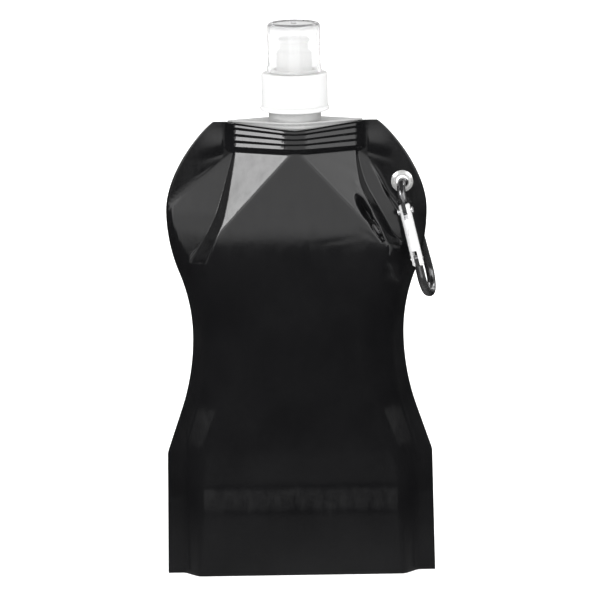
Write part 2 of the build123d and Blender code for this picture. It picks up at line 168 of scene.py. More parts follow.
# Marks on the flat seals, each with its relief and width
SEAL_LEAD = 1.0
SEAL_LEAD_FADE = 1.5
GUSSET_MARK_RELIEF = 0.16
GUSSET_MARK_WIDTH = 0.8
FOOT_MARK_Z = 14.0
FOOT_MARK_RELIEF = 0.05
FOOT_MARK_WIDTH = 0.7
BEAD_GAP = 0.9
BEAD_RELIEF = 0.10
BEAD_WIDTH = 0.6
BEAD_TOP = 198.0
BEAD_FADE = 6.0
STREAK_X = 57.0
STREAK_RELIEF = 0.12
STREAK_WIDTH = 0.6
STREAK_BOTTOM = 13.0
STREAK_TOP = 26.0
STREAK_FADE = 3.0

# Fine creases, drawn from a seed for each panel: ranges are (least, greatest)
FRONT_SEED = 11
BACK_SEED = 23
CREASE_MARGIN = 2.0
CREASE_FADE = 6.0
SIDE_CREASES = 46
SIDE_CREASE_HEIGHTS = (40.0, 160.0)
SIDE_CREASE_INSETS = (-1.0, 7.0)
SIDE_CREASE_LEANS = (-0.45, 0.45)
SIDE_CREASE_UPRIGHT = 0.6
SIDE_CREASE_TURN = 1.2
SIDE_CREASE_LENGTHS = (2.5, 8.0)
SIDE_CREASE_RELIEFS = (-0.16, 0.16)
SIDE_CREASE_WIDTH = 0.7
BELLY_CREASES = 40
BELLY_CREASE_PLACES = (-38.0, 38.0)
BELLY_CREASE_HEIGHTS = (12.0, 198.0)
BELLY_CREASE_LEANS = (0.9, 2.2)
BELLY_CREASE_LENGTHS = (5.0, 16.0)
BELLY_CREASE_RELIEFS = (-0.045, 0.045)
BELLY_CREASE_WIDTH = 1.6

# Film mesh: rows over the height and columns over the half width, each run as (start, end, step)
ROW_RUNS = (
    (0.0, 28.0, 1.8),
    (28.0, 44.0, 1.0),
    (44.0, 150.0, 1.8),
    (150.0, 160.0, 1.0),
    (160.0, 186.0, 0.5),
    (186.0, 199.0, 0.8),
    (199.0, POUCH_TOP, 0.4),
)
COLUMN_RUNS = (
    (-1.0, -0.80, 0.02),
    (-0.80, -0.46, 0.0055),
    (-0.46, 0.44, 0.024),
    (0.44, 0.80, 0.006),
    (0.80, 1.0, 0.02),
)
SLOPE_STEP = 0.02
CURVE_POINTS = 200

# Gusset
GUSSET_TOP = 36.4
GUSSET_FOOT_DEPTH = 8.7
GUSSET_MARGIN = 1.2
GUSSET_GAP = 0.06
GUSSET_LEAST_DEPTH = 0.1
GUSSET_COLUMNS = 101
GUSSET_SAMPLES = 240
SKIRT_ROWS = 9
VAULT_ROWS = 21
VAULT_FULLNESS = 0.9
SHORTEST_NORMAL = 1e-9

# Eyelet
EYELET_X = 50.0
EYELET_Z = 187.5
EYELET_CUT = 3.6

# Colours, each pair as the two ends that a material's pattern moves between
WHITE = (1.0, 1.0, 1.0, 1.0)
BLACK = (0.0, 0.0, 0.0, 1.0)
LAMINATE_BLACKS = ((0.0042, 0.0042, 0.0046), (0.0065, 0.0065, 0.007))
EDGE_GREYS = ((0.035, 0.036, 0.03), (0.06, 0.06, 0.05))
PLASTIC_WHITES = ((0.96, 0.96, 0.955), (1.0, 1.0, 0.995))
# The cover's second colour is painted shade that greys its closed end
COVER_CLEAR_AND_PAINTED_GREY = ((0.985, 0.985, 0.985), (0.6, 0.6, 0.605))
ANODISED_BLACKS = ((0.10, 0.10, 0.103), (0.17, 0.17, 0.173))
PAPER_WHITES = ((0.93, 0.93, 0.93), (0.95, 0.95, 0.95))
METAL_SHADE = 0.86
MOTTLE_DETAIL = 3.0

# Sockets of the Mix node that carry colours
MIX_FIRST = 6
MIX_SECOND = 7
MIX_RESULT = 2

# Painted shade at the cover's closed end, in metres below its top: where the painted grey begins and where
# it is full
PAINTED_GREY_START = 0.0035
PAINTED_GREY_FULL = 0.0012

# Camera, in metres and degrees
CAMERA_TARGET = Vector((0.00105, 0.0, 0.1313))
CAMERA_ELEVATION = 10.0
CAMERA_DISTANCE = 2.4
CAMERA_ROLL = 0.87
CAMERA_CLIP = 50.0
SENSOR = 36.0
FRAME_WIDTH = 0.2838

# Floor and sky, in metres
FLOOR_SIZE = 14.0
FLOOR_GLOW = 0.6
SKY_WHITE = 1.0
SKY_LIGHT = 0.42
POOL_DROP = 0.001
POOL_NEAR = 0.28
POOL_FAR = 0.0
POOL_RADIUS = 0.2

# Lamps: name, azimuth, elevation, distance, width, height and radiance
LIGHT_TARGET = Vector((0.0, 0.0, 0.15))
LAMPS = (
    ("left_box", -50.0, 33.0, 1.6, 0.42, 0.6, 11.0),
    ("right_box", 50.0, 28.0, 1.6, 0.5, 0.86, 2.3),
    ("left_fill", -33.5, 22.0, 1.6, 0.5, 1.04, 2.0),
    ("right_fill", 33.5, 22.0, 1.6, 0.5, 1.04, 1.5),
    ("left_bounce", -67.0, 24.0, 1.6, 0.5, 0.6, 1.4),
    ("right_bounce", 70.0, 28.0, 1.6, 0.55, 0.9, 2.7),
    ("left_rear", -137.0, 5.0, 1.6, 1.1, 1.0, 0.12),
    ("right_rear", 137.0, 5.0, 1.6, 1.1, 1.0, 0.26),
    ("back_left", -130.0, 36.0, 1.6, 0.42, 0.5, 6.0),
    ("back_right", 130.0, 36.0, 1.6, 0.42, 0.5, 6.0),
    ("left_wall", -94.0, 25.0, 1.6, 0.9, 1.2, 0.4),
    ("right_wall", 96.0, 25.0, 1.6, 0.9, 1.2, 0.4),
    ("back_box", 180.0, 32.0, 2.2, 3.0, 2.2, 1.0),
)

# Front card, and the strips that fade it out below its lower edge
FRONT_ELEVATION = 21.5
FRONT_DISTANCE = 1.6
FRONT_WIDTH = 1.45
FRONT_HEIGHT = 1.39
FRONT_RADIANCE = 1.28
FADE_TOP = -2.0
FADE_STEP = 2.5
FADE_HEIGHT = 0.07
FADE_SHARES = (0.75, 0.45, 0.18)


def smooth_step(value):
    """0 below 0, 1 above 1 and an S curve between."""
    clipped = np.clip(value, 0.0, 1.0)
    return clipped * clipped * (3.0 - 2.0 * clipped)


def soft_min(a, b, blend):
    """The lower of two heights, with their crease rounded over the blend."""
    return np.minimum(a, b) - np.maximum(blend - np.abs(a - b), 0.0) ** 2 / (4.0 * blend)


def soft_max(a, b, blend):
    """The higher of two heights, with their crease rounded over the blend."""
    return -soft_min(-a, -b, blend)


def bump(distance, width):
    """Bell curve of height 1 at distance 0."""
    return np.exp(-((distance / width) ** 2))


def smoothed(heights, values, z):
    """Values between given heights, with their corners rounded."""
    steps = np.linspace(-TABLE_REACH, TABLE_REACH, TABLE_STEPS)
    weights = np.exp(-(steps**2))
    total = sum(w * np.interp(z + s * TABLE_SPACING, heights, values) for s, w in zip(steps, weights))
    return total / weights.sum()


def by_side(x, z, heights, left, right):
    """Values at each height from the table of the side that x is on."""
    return np.where(x < 0, smoothed(heights, left, z), smoothed(heights, right, z))


def graded(runs):
    """Values from run to run, each run given as (start, end, step)."""
    values = [np.array([runs[0][0]])]
    for start, end, step in runs:
        count = max(1, round((end - start) / step))
        values.append(np.linspace(start, end, count + 1)[1:])
    return np.concatenate(values)


def arc_half_width(z, start, end, radius, hollow):
    """Half width along a circular arc between two outline points; hollow arcs curve in towards the belly."""
    start = np.array(start)
    end = np.array(end)
    chord = end - start
    length = np.hypot(*chord)
    outward = np.array((chord[1], -chord[0])) / length
    side = 1.0 if hollow else -1.0
    centre = (start + end) / 2.0 + side * outward * math.sqrt(radius**2 - (length / 2.0) ** 2)
    return centre[0] - side * np.sqrt(np.maximum(radius**2 - (z - centre[1]) ** 2, 0.0))


def shoulder_curve():
    """Points of the curve over the ear, from the widest point to the end of the top edge."""
    points = np.array(
        (
            SHOULDER,
            (SHOULDER[0], SHOULDER[1] + SHOULDER_PULL),
            (TOP_CORNER[0] + CORNER_SPREAD * CORNER_PULL, TOP_CORNER[1] - CORNER_PULL),
            TOP_CORNER,
        )
    )
    t = np.linspace(0.0, 1.0, CURVE_POINTS)[:, None]
    return (
        (1 - t) ** 3 * points[0]
        + 3 * (1 - t) ** 2 * t * points[1]
        + 3 * (1 - t) * t**2 * points[2]
        + t**3 * points[3]
    )


def edge_half_width(z):
    """Half width of the film's cut outline at each height."""
    shoulder = shoulder_curve()
    return np.select(
        [z <= FLARE[1], z <= WAIST[1], z <= CHEST[1], z <= SHOULDER[1]],
        [
            np.interp(z, (BOTTOM_CORNER[1], HIP[1], FLARE[1]), (BOTTOM_CORNER[0], HIP[0], FLARE[0])),
            arc_half_width(z, FLARE, WAIST, HIP_ARC_RADIUS, True),
            arc_half_width(z, WAIST, CHEST, CHEST_ARC_RADIUS, True),
            arc_half_width(z, CHEST, SHOULDER, CHEST_ARC_RADIUS, False),
        ],
        np.interp(z, shoulder[:, 1], shoulder[:, 0]),
    )


def belly_half_width(x, z):
    """Half width of the unsealed film on the side that x is on."""
    return by_side(x, z, SEAL_HEIGHTS, LEFT_BELLY, RIGHT_BELLY)


def crown_depth(z):
    """Depth along the middle: the belly up to the ridge, and the central facet from there to the band."""
    belly = smoothed(CROWN_HEIGHTS, CROWN_DEPTHS, z)
    fall = (BELLY_DEPTH - BAND_DEPTH) / (FACET_TOP - RIDGE_Z)
    central_facet = BELLY_DEPTH - fall * (z - RIDGE_Z)
    return soft_min(belly, central_facet, RIDGE_BEND)


def facet_depth(away, z):
    """Plane of the slanting facet beside the central one."""
    return FACET_DEPTH - FACET_FALL * (away - FACET_INNER) - FACET_RISE * (z - FACET_TOP)


def shoulder_depth(x, z):
    """Steep wall from the slanting facet's outer edge down to the low plane of the shoulder."""
    away = np.abs(x)
    edge = by_side(x, z, WALL_HEIGHTS, LEFT_WALL_EDGE, RIGHT_WALL_EDGE)
    edge_depth = np.minimum(facet_depth(edge, z), smoothed(CROWN_HEIGHTS, CROWN_DEPTHS, z))
    wall = edge_depth - np.interp(z, WALL_CHANGE_HEIGHTS, WALL_SLOPES) * (away - edge)
    plane = SHOULDER_SLOPE * (smoothed(SHOULDER_HEIGHTS, SHOULDER_REACH, z) - SHOULDER_LEAN * away)
    foot_bend = np.interp(z, WALL_CHANGE_HEIGHTS, WALL_FOOT_BENDS)
    return soft_max(wall, plane, foot_bend)


def belly_depth(x, z):
    """Swollen film below and around the facets, before seals, wrinkles and weld band."""
    away = np.abs(x)
    shape = soft_min(crown_depth(z), facet_depth(away, z), FACET_BEND)
    shape = soft_min(shape, shoulder_depth(x, z), WALL_EDGE_BEND)
    flank = (belly_half_width(x, z) - away) * np.interp(z, FLANK_HEIGHTS, FLANK_SLOPES)
    bend = np.interp(z, FLANK_BEND_HEIGHTS, FLANK_BENDS)
    return soft_min(shape, flank, bend)


def band_depth(x):
    """Film stretched round the spout's boat-shaped base."""
    return soft_min(np.full_like(x, BAND_DEPTH), (BAND_TIP - np.abs(x)) * BAND_SLOPE, BAND_BEND)


def ribs(x, z):
    """Film pressed in above each rib of the spout's base, less so across its blunt front."""
    phase = np.mod((z - BAND_BOTTOM) / RIB_PITCH, 1.0)
    fall = phase / RIB_FALL
    rise = smooth_step((1.0 - phase) / (1.0 - RIB_FALL))
    groove = np.minimum(np.minimum(fall, 1.0), rise)
    inside = smooth_step((RIB_END - np.abs(x)) / RIB_FADE)
    inside = inside * smooth_step((z - BAND_BOTTOM + BAND_LEAD) / RIB_LEAD_FADE)
    inside = inside * smooth_step((POUCH_TOP - z) / RIB_FADE)
    beside = smooth_step((np.abs(x) - RIB_FRONT) / RIB_FRONT_FADE)
    front = RIB_FRONT_SHARE + (1.0 - RIB_FRONT_SHARE) * beside
    return -RIB_EMBOSS * groove * inside * front


def dipped(x, z):
    """Heights in the weld band, moved down towards its middle, where the film dips in front of the spout."""
    middle = np.maximum(1.0 - np.abs(x) / BAND_TIP, 0.0)
    share = np.clip((z - BAND_BOTTOM) / (POUCH_TOP - BAND_BOTTOM), 0.0, 1.0)
    return z - BAND_DIP * middle * share


def dent(x, z):
    """Long pit in the right facet, with a lens standing in its lower half and a lip along its right side."""
    start = np.array(DENT_TOP)
    end = np.array(DENT_BOTTOM)
    along = end - start
    length = np.hypot(*along)
    along = along / length
    right = np.array((-along[1], along[0]))
    dx = x - start[0]
    dz = z - start[1]
    travel = dx * along[0] + dz * along[1]
    offset = dx * right[0] + dz * right[1]
    beyond = np.maximum(np.maximum(-travel, travel - length), 0.0)
    half_width = np.interp(travel, DENT_STEPS, DENT_HALF_WIDTHS)
    radius = np.hypot(offset, beyond) / half_width
    depth = np.interp(travel, DENT_STEPS, DENT_DEPTHS)
    pit = np.maximum(1.0 - radius, 0.0) ** DENT_FULLNESS * depth
    lens_reach = np.hypot(offset / LENS_HALF_WIDTH, (travel - LENS_MIDDLE) / LENS_HALF_LENGTH)
    lens = LENS_HEIGHT * smooth_step((1.0 - lens_reach) / LENS_EDGE)
    lip = LIP_HEIGHT * bump(offset - half_width - LIP_GAP, LIP_WIDTH)
    lip = lip * smooth_step((travel + LIP_LEAD) / LIP_LEAD_FADE)
    lip = lip * smooth_step((length + LIP_TAIL - travel) / LIP_TAIL_FADE)
    return np.where(lens_reach < 1.0, soft_max(-pit, lens - LENS_SINK, LENS_BEND), -pit) + lip


def crease_line(x, z, middle, lean, length, width):
    """A narrow ridge through the middle point, leaning from the vertical, fading at its ends."""
    dx = x - middle[0]
    dz = z - middle[1]
    along = dx * math.sin(lean) + dz * math.cos(lean)
    across = dx * math.cos(lean) - dz * math.sin(lean)
    return bump(across, width) * bump(along, length)


def creases(x, z, seed):
    """Fine seeded creases: short ones along the side seals and faint long ones over the belly."""
    random = np.random.default_rng(seed)
    relief = np.zeros_like(x)
    for _ in range(SIDE_CREASES):
        side = random.choice((-1.0, 1.0))
        height = random.uniform(*SIDE_CREASE_HEIGHTS)
        reach = float(smoothed(SEAL_HEIGHTS, RIGHT_BELLY, height))
        middle = np.array((side * (reach - random.uniform(*SIDE_CREASE_INSETS)), height))
        lean = random.uniform(*SIDE_CREASE_LEANS)
        if random.random() >= SIDE_CREASE_UPRIGHT:
            lean += SIDE_CREASE_TURN
        length = random.uniform(*SIDE_CREASE_LENGTHS)
        height_of_relief = random.uniform(*SIDE_CREASE_RELIEFS)
        relief += height_of_relief * crease_line(x, z, middle, lean, length, SIDE_CREASE_WIDTH)
    for _ in range(BELLY_CREASES):
        middle = np.array((random.uniform(*BELLY_CREASE_PLACES), random.uniform(*BELLY_CREASE_HEIGHTS)))
        lean = random.uniform(*BELLY_CREASE_LEANS)
        length = random.uniform(*BELLY_CREASE_LENGTHS)
        height_of_relief = random.uniform(*BELLY_CREASE_RELIEFS)
        relief += height_of_relief * crease_line(x, z, middle, lean, length, BELLY_CREASE_WIDTH)
    return relief


def ear_fold(away, z):
    """Pucker in the flat ear, running out from the end of the weld band."""
    reach = away - (BAND_TIP + EAR_FOLD_GAP)
    crest = EAR_FOLD_Z - EAR_FOLD_DROP * reach
    spread = EAR_FOLD_SPREAD + EAR_FOLD_GROWTH * np.maximum(reach, 0.0)
    ridge = bump(z - crest, EAR_FOLD_WIDTH * spread)
    hollow = EAR_HOLLOW_SHARE * bump(z - crest + EAR_HOLLOW_DROP, EAR_HOLLOW_WIDTH * spread)
    fade = smooth_step(reach / EAR_FOLD_LEAD_FADE)
    fade = fade * smooth_step((EAR_FOLD_LENGTH - reach) / EAR_FOLD_TAIL_FADE)
    return EAR_FOLD_HEIGHT * (ridge - hollow) * fade


def seal_relief(x, z):
    """Marks on the flat seals: the gusset's edge, a bead along the belly, a streak and the ear's pucker."""
    outside = np.abs(x) - belly_half_width(x, z)
    on_seal = smooth_step((outside + SEAL_LEAD) / SEAL_LEAD_FADE)
    gusset_mark = GUSSET_MARK_RELIEF * bump(z - GUSSET_TOP, GUSSET_MARK_WIDTH)
    foot_mark = FOOT_MARK_RELIEF * bump(z - FOOT_MARK_Z, FOOT_MARK_WIDTH)
    bead = BEAD_RELIEF * bump(outside - BEAD_GAP, BEAD_WIDTH) * smooth_step((BEAD_TOP - z) / BEAD_FADE)
    streak = STREAK_RELIEF * bump(x - STREAK_X, STREAK_WIDTH)
    streak = streak * smooth_step((z - STREAK_BOTTOM) / STREAK_FADE)
    streak = streak * smooth_step((STREAK_TOP - z) / STREAK_FADE)
    return on_seal * (gusset_mark + foot_mark) + bead + streak + ear_fold(np.abs(x), z)


def film_depth(x, z, front):
    """Distance of one panel's outer face from the middle plane."""
    band = band_depth(x) + ribs(x, z)
    share = smooth_step((z - FACET_END) / (BAND_BOTTOM + BAND_LEAD - FACET_END))
    swollen = belly_depth(x, z) * (1.0 - share) + band * share
    if front:
        swollen = swollen + dent(x, z)
    inside = smooth_step((belly_half_width(x, z) - np.abs(x) - CREASE_MARGIN) / CREASE_FADE)
    relief = creases(x, z, FRONT_SEED if front else BACK_SEED)
    relief = relief * smooth_step((BAND_BOTTOM - z) / CREASE_FADE)
    swollen = soft_max(swollen + relief * inside, np.zeros_like(x), SEAL_BEND)
    seal = np.full_like(x, FILM) + seal_relief(x, z)
    return np.maximum(swollen, 0.0) + seal


def film_slopes(x, z, front):
    """How fast one panel's depth changes with x and with height."""
    step = SLOPE_STEP
    slope_x = (film_depth(x + step, z, front) - film_depth(x - step, z, front)) / (2 * step)
    slope_z = (film_depth(x, z + step, front) - film_depth(x, z - step, front)) / (2 * step)
    return slope_x, slope_z


def film_grid():
    """Height rows and width columns, finer at the weld band, at the walls and at the dent."""
    rows = graded(ROW_RUNS)
    columns = graded(COLUMN_RUNS)
    z = np.repeat(rows[:, None], len(columns), axis=1)
    x = columns[None, :] * edge_half_width(rows)[:, None]
    return x, z


def in_metres(x, y, z):
    """List of points from grids of coordinates in millimetres."""
    return np.stack((x, y, z), axis=-1).reshape(-1, 3) * MM


def shell_mesh(name, outer, inner, faces):
    """Closed mesh from matching outer and inner points, with walls along the open edges."""
    count = len(outer)
    edge_use = {}
    for face in faces:
        for a, b in zip(face, face[1:] + face[:1]):
            key = (min(a, b), max(a, b))
            edge_use.setdefault(key, []).append((a, b))
    open_edges = [uses[0] for uses in edge_use.values() if len(uses) == 1]
    shell = [tuple(face) for face in faces]
    shell += [tuple(count + index for index in reversed(face)) for face in faces]
    smooth_faces = len(shell)
    shell += [(b, a, a + count, b + count) for a, b in open_edges]
    mesh = bpy.data.meshes.new(name)
    mesh.from_pydata(np.concatenate((outer, inner)).tolist(), [], shell)
    smooth = np.zeros(len(shell), bool)
    smooth[:smooth_faces] = True
    mesh.polygons.foreach_set("use_smooth", smooth)
    materials = np.zeros(len(shell), np.int32)
    materials[smooth_faces:] = 1
    mesh.polygons.foreach_set("material_index", materials)
    mesh.validate()
    mesh.update()
    piece = bpy.data.objects.new(name, mesh)
    bpy.context.scene.collection.objects.link(piece)
    return piece


def drop_loose_points(outer, inner, faces):
    """The same faces over only the points that they use."""
    used = sorted({index for face in faces for index in face})
    place = {old: new for new, old in enumerate(used)}
    return outer[used], inner[used], [[place[index] for index in face] for face in faces]


def panel_faces(x, z, front):
    """Faces of a panel's grid, left out where the eyelet's hole is."""
    clear = np.hypot(x - EYELET_X, z - EYELET_Z) > EYELET_CUT
    rows, columns = x.shape
    faces = []
    for row in range(rows - 1):
        for column in range(columns - 1):
            if clear[row : row + 2, column : column + 2].all():
                corner = row * columns + column
                face = [corner, corner + 1, corner + columns + 1, corner + columns]
                faces.append(face if front else face[::-1])
    return faces


def film_panel(name, front):
    """One whole film panel, from the bottom edge to the top edge, with the eyelet's hole."""
    x, z = film_grid()
    depth = film_depth(x, z, front)
    slope_x, slope_z = film_slopes(x, z, front)
    length = np.sqrt(slope_x**2 + slope_z**2 + 1.0)
    inner_x = x + FILM * slope_x / length
    inner_z = np.clip(z + FILM * slope_z / length, 0.0, POUCH_TOP)
    inner_depth = np.maximum(depth - FILM / length, 0.0)
    facing = -1.0 if front else 1.0
    outer = in_metres(x, facing * depth, dipped(x, z))
    inner = in_metres(inner_x, facing * inner_depth, dipped(x, inner_z))
    return shell_mesh(name, *drop_loose_points(outer, inner, panel_faces(x, z, front)))


def gusset_room(x, z):
    """Greatest depth the gusset can have inside the panels."""
    return np.maximum(film_depth(x, z, False) - (FILM + GUSSET_GAP), GUSSET_LEAST_DEPTH)


def weld_heights(x):
    """Height up to which each column of the gusset lies against the panels."""
    heights = np.linspace(0.0, GUSSET_TOP, GUSSET_SAMPLES)
    column_x = np.repeat(x[None, :], len(heights), axis=0)
    column_z = np.repeat(heights[:, None], len(x), axis=1)
    leg = GUSSET_FOOT_DEPTH * (1.0 - column_z / GUSSET_TOP)
    return heights[np.argmax(leg <= gusset_room(column_x, column_z), axis=0)]


def gusset_half(x):
    """Depths and heights over one half of the gusset, from the bottom edge to its fold."""
    weld = weld_heights(x)
    weld_depth = gusset_room(x, weld)
    depths = []
    heights = []
    for share in np.linspace(0.0, 1.0, SKIRT_ROWS):
        depths.append(gusset_room(x, share * weld))
        heights.append(share * weld)
    for share in np.linspace(0.0, 1.0, VAULT_ROWS)[1:]:
        rise = math.sin(share * math.pi / 2.0) ** VAULT_FULLNESS
        depths.append(weld_depth * (1.0 - share))
        heights.append(weld + (GUSSET_TOP - weld) * rise)
    return np.array(depths), np.array(heights)


def gusset_panel(name):
    """Bottom film: its welded skirt inside both panels and the raised fold between them."""
    half_width = float(smoothed(SEAL_HEIGHTS, LEFT_BELLY, 0.0)) - GUSSET_MARGIN
    x = np.linspace(-1.0, 1.0, GUSSET_COLUMNS) * half_width
    depths, heights = gusset_half(x)
    y = np.concatenate((-depths, depths[-2::-1]))
    z = np.concatenate((heights, heights[-2::-1]))
    points = np.stack((np.repeat(x[None, :], len(y), axis=0), y, z), axis=-1)
    normal = np.cross(np.gradient(points, axis=0), np.gradient(points, axis=1))
    normal /= np.maximum(np.linalg.norm(normal, axis=-1, keepdims=True), SHORTEST_NORMAL)
    inner = points + normal * FILM
    inner[..., 2] = np.maximum(inner[..., 2], 0.0)
    rows, columns = y.shape
    faces = []
    for row in range(rows - 1):
        for column in range(columns - 1):
            corner = row * columns + column
            faces.append([corner, corner + columns, corner + columns + 1, corner + 1])
    return shell_mesh(name, points.reshape(-1, 3) * MM, inner.reshape(-1, 3) * MM, faces)


class Nodes:
    """Short helper for a material's node tree."""

    def __init__(self, name):
        self.material = bpy.data.materials.new(name)
        self.material.use_nodes = True
        self.tree = self.material.node_tree
        self.shader = self.tree.nodes["Principled BSDF"]
        self.place = self.add("ShaderNodeTexCoord").outputs["Object"]

    def add(self, kind, **settings):
        """New node; each setting goes to its socket or, if it has none, to the node."""
        node = self.tree.nodes.new(kind)
        for key, value in settings.items():
            if key in node.inputs:
                node.inputs[key].default_value = value
            else:
                setattr(node, key, value)
        return node

    def link(self, output, socket):
        """Join an output to a socket."""
        self.tree.links.new(output, socket)

    def set(self, **values):
        """Constants on the shader's own sockets."""
        for key, value in values.items():
            self.shader.inputs[key.replace("_", " ")].default_value = value

    def noise(self, scale, detail=2.0, roughness=0.5, stretch=(1.0, 1.0, 1.0)):
        """Noise over the object's own coordinates."""
        mapping = self.add("ShaderNodeMapping")
        mapping.inputs["Scale"].default_value = stretch
        self.link(self.place, mapping.inputs["Vector"])
        noise = self.add("ShaderNodeTexNoise", Scale=scale, Detail=detail, Roughness=roughness)
        self.link(mapping.outputs["Vector"], noise.inputs["Vector"])
        return noise.outputs["Fac"]

    def spread(self, value, low, high, start=0.3, end=0.7):
        """The value's range from start to end, spread from low to high."""
        ramp = self.add("ShaderNodeMapRange")
        ramp.inputs["From Min"].default_value = start
        ramp.inputs["From Max"].default_value = end
        ramp.inputs["To Min"].default_value = low
        ramp.inputs["To Max"].default_value = high
        self.link(value, ramp.inputs["Value"])
        return ramp.outputs["Result"]

    def colour(self, share, colours):
        """Base colour between the first and the second colour."""
        mix = self.add("ShaderNodeMix", data_type="RGBA")
        mix.inputs[MIX_FIRST].default_value = (*colours[0], 1.0)
        mix.inputs[MIX_SECOND].default_value = (*colours[1], 1.0)
        self.link(share, mix.inputs[0])
        self.link(mix.outputs[MIX_RESULT], self.shader.inputs["Base Color"])

    def mottle(self, scale, colours):
        """Base colour that wanders between two colours in soft patches."""
        self.colour(self.spread(self.noise(scale, MOTTLE_DETAIL), low=0.0, high=1.0), colours)

    def roughen(self, value, low, high):
        """Roughness that follows a value between two limits."""
        self.link(self.spread(value, low, high), self.shader.inputs["Roughness"])

    def bump(self, value, distance, strength):
        """Fine relief that follows a value."""
        bump_node = self.add("ShaderNodeBump", Strength=strength, Distance=distance)
        self.link(value, bump_node.inputs["Height"])
        self.link(bump_node.outputs["Normal"], self.shader.inputs["Normal"])


def black_film():
    """Glossy black laminate with a faint orange peel and handling scuffs."""
    film = Nodes("black_laminate")
    film.set(IOR=1.5, Specular_IOR_Level=0.5)
    film.mottle(38.0, LAMINATE_BLACKS)
    scuffs = film.noise(scale=260.0, detail=5.0, roughness=0.65, stretch=(1.0, 1.0, 0.35))
    film.roughen(scuffs, low=0.11, high=0.21)
    film.bump(film.noise(scale=420.0), distance=0.00004, strength=0.35)
    return film.material


def film_edge():
    """Cut edge of the laminate, where its pale inner layer shows."""
    edge = Nodes("laminate_cut_edge")
    edge.set(Roughness=0.45)
    edge.colour(edge.noise(scale=900.0), EDGE_GREYS)
    return edge.material


def white_plastic(name, tone, glow, rough):
    """Moulded white plastic with soft light inside and a faint moulding texture."""
    plastic = Nodes(name)
    plastic.set(IOR=1.49, Subsurface_Weight=glow, Subsurface_Scale=0.004, Subsurface_Radius=(1.0, 0.95, 0.9))
    whites = [tuple(tone * channel for channel in white) for white in PLASTIC_WHITES]
    plastic.mottle(60.0, whites)
    plastic.roughen(plastic.noise(scale=700.0, detail=3.0), low=rough - 0.05, high=rough + 0.07)
    plastic.bump(plastic.noise(scale=1600.0), distance=0.00002, strength=0.3)
    return plastic.material


def clear_plastic(top):
    """Clear moulded plastic with slight haze, painted greyer near its closed end as painted shade."""
    clear = Nodes("clear_cover_plastic")
    clear.set(IOR=1.47, Transmission_Weight=0.78)
    height = clear.add("ShaderNodeSeparateXYZ")
    clear.link(clear.place, height.inputs[0])
    start = top - PAINTED_GREY_START
    end = top - PAINTED_GREY_FULL
    # Painted shade: the base colour turns grey towards the cover's closed end
    painted_grey = clear.spread(height.outputs["Z"], low=0.0, high=1.0, start=start, end=end)
    clear.colour(painted_grey, COVER_CLEAR_AND_PAINTED_GREY)
    clear.roughen(clear.noise(scale=300.0, detail=3.0), low=0.02, high=0.07)
    clear.bump(clear.noise(scale=90.0, detail=1.0), distance=0.00003, strength=0.25)
    return clear.material


def metal(name, colour, metallic, rough, grain):
    """Bright metal whose grain runs along Z; a satin one is less metallic and scatters more."""
    bright = Nodes(name)
    bright.set(Metallic=metallic)
    dark = tuple(METAL_SHADE * channel for channel in colour)
    bright.mottle(180.0, (dark, colour))
    lines = bright.noise(scale=1400.0, roughness=0.6, stretch=(1.0, 1.0, grain))
    bright.roughen(lines, low=rough - 0.04, high=rough + 0.08)
    bright.bump(lines, distance=0.00001, strength=0.12)
    return bright.material


def black_anodised():
    """Black anodised wire, with the faint lines of the drawn bar."""
    wire = Nodes("black_anodised_wire")
    wire.set(Metallic=0.85, Coat_Weight=0.6, Coat_Roughness=0.1)
    wire.mottle(120.0, ANODISED_BLACKS)
    lines = wire.noise(scale=900.0, detail=3.0, roughness=0.6, stretch=(1.0, 1.0, 0.15))
    wire.roughen(lines, low=0.14, high=0.24)
    wire.bump(lines, distance=0.00002, strength=0.3)
    return wire.material


def dress(piece, material):
    """Give a CAD piece its material."""
    piece.data.materials.clear()
    piece.data.materials.append(material)


def direction(azimuth, elevation):
    """Unit vector from the bottle; azimuth 0 is in front and turns towards the right, in degrees."""
    side = math.radians(azimuth)
    up = math.radians(elevation)
    return Vector((math.sin(side) * math.cos(up), -math.cos(side) * math.cos(up), math.sin(up)))


def softbox(name, azimuth, elevation, distance, width, height, radiance):
    """Rectangular lamp aimed at the bottle; its power follows from how bright its face looks."""
    light = bpy.data.lights.new(name, "AREA")
    light.shape = "RECTANGLE"
    light.size = width
    light.size_y = height
    light.energy = radiance * math.pi * width * height
    lamp = bpy.data.objects.new(name, light)
    bpy.context.scene.collection.objects.link(lamp)
    outward = direction(azimuth, elevation)
    lamp.location = LIGHT_TARGET + outward * distance
    lamp.rotation_euler = (-outward).to_track_quat("-Z", "Y").to_euler()
    lamp.visible_camera = False


def studio_lamps():
    """Front card with its fading lower edge, then the lamps at the sides and behind."""
    softbox("front_card", 0.0, FRONT_ELEVATION, FRONT_DISTANCE, FRONT_WIDTH, FRONT_HEIGHT, FRONT_RADIANCE)
    for number, share in enumerate(FADE_SHARES):
        name = f"front_fade_{number + 1}"
        elevation = FADE_TOP - FADE_STEP * (number + 0.5)
        softbox(name, 0.0, elevation, FRONT_DISTANCE, FRONT_WIDTH, FADE_HEIGHT, FRONT_RADIANCE * share)
    for lamp in LAMPS:
        softbox(*lamp)


def pale_floor():
    """Wide pale studio floor at the bottle's foot."""
    bpy.ops.mesh.primitive_plane_add(size=FLOOR_SIZE, location=(0, 0, 0))
    floor = bpy.context.object
    floor.name = "studio_floor"
    paper = Nodes("studio_paper")
    paper.set(Roughness=0.9, Specular_IOR_Level=0.1, Emission_Color=WHITE, Emission_Strength=FLOOR_GLOW)
    paper.colour(paper.noise(scale=3.0), PAPER_WHITES)
    floor.data.materials.append(paper.material)
    floor.visible_glossy = False


